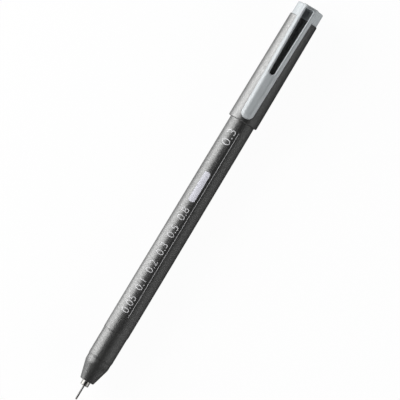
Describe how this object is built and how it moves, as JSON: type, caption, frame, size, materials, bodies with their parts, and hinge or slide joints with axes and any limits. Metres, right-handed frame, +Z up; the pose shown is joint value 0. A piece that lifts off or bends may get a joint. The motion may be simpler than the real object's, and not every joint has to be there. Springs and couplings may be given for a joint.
{
  "type": "fineliner pen",
  "caption": "Slim fineliner pen with a steel writing tube, tapered front section, straight barrel, and a pull-off cap with a slotted clip posted on its rear.",
  "frame": {"origin": "on the surface that the pen lies on, under the middle of its posted length", "axes": "+X along the pen from the writing point to the end of the cap, +Z up, away from the surface and through the clip"},
  "size_m": [0.157, 0.011, 0.0133],
  "materials": {
    "pearl_grey_plastic": "satin, fine metallic pearl",
    "light_grey_plastic": "satin",
    "tip_metal": "polished, slightly dulled",
    "tip_steel": "drawn, darkened by ink",
    "inked_fibre": "matt",
    "reservoir_fibre": "inked bonded fibre",
    "clear_film": "gloss",
    "liner_plastic": "satin, milky"
  },
  "bodies": {
    "pen": {"barrel": "pearl_grey_plastic", "front_section": "pearl_grey_plastic", "tip_collar": "tip_metal", "tip_tube": "tip_steel", "nib": "inked_fibre", "ink_reservoir": "reservoir_fibre", "reservoir_wrap": "clear_film", "tail_plug": "pearl_grey_plastic"},
    "cap": {"cap_tube": "pearl_grey_plastic", "inner_cap": "liner_plastic", "clip_head": "light_grey_plastic"},
    "clip": {"clip_arm": "light_grey_plastic"}
  },
  "joints": [
    {"name": "cap_slide", "type": "slide", "parent": "pen", "child": "cap", "axis": [1, 0, 0], "range_m": [0, 0.03]},
    {"name": "clip_flex", "type": "hinge", "parent": "cap", "child": "clip", "pos_m": [0.0737, 0, 0.01332], "axis": [0, 1, 0], "range_deg": [0, 3.5], "stiffness_Nm_per_rad": 0.4}
  ]
}
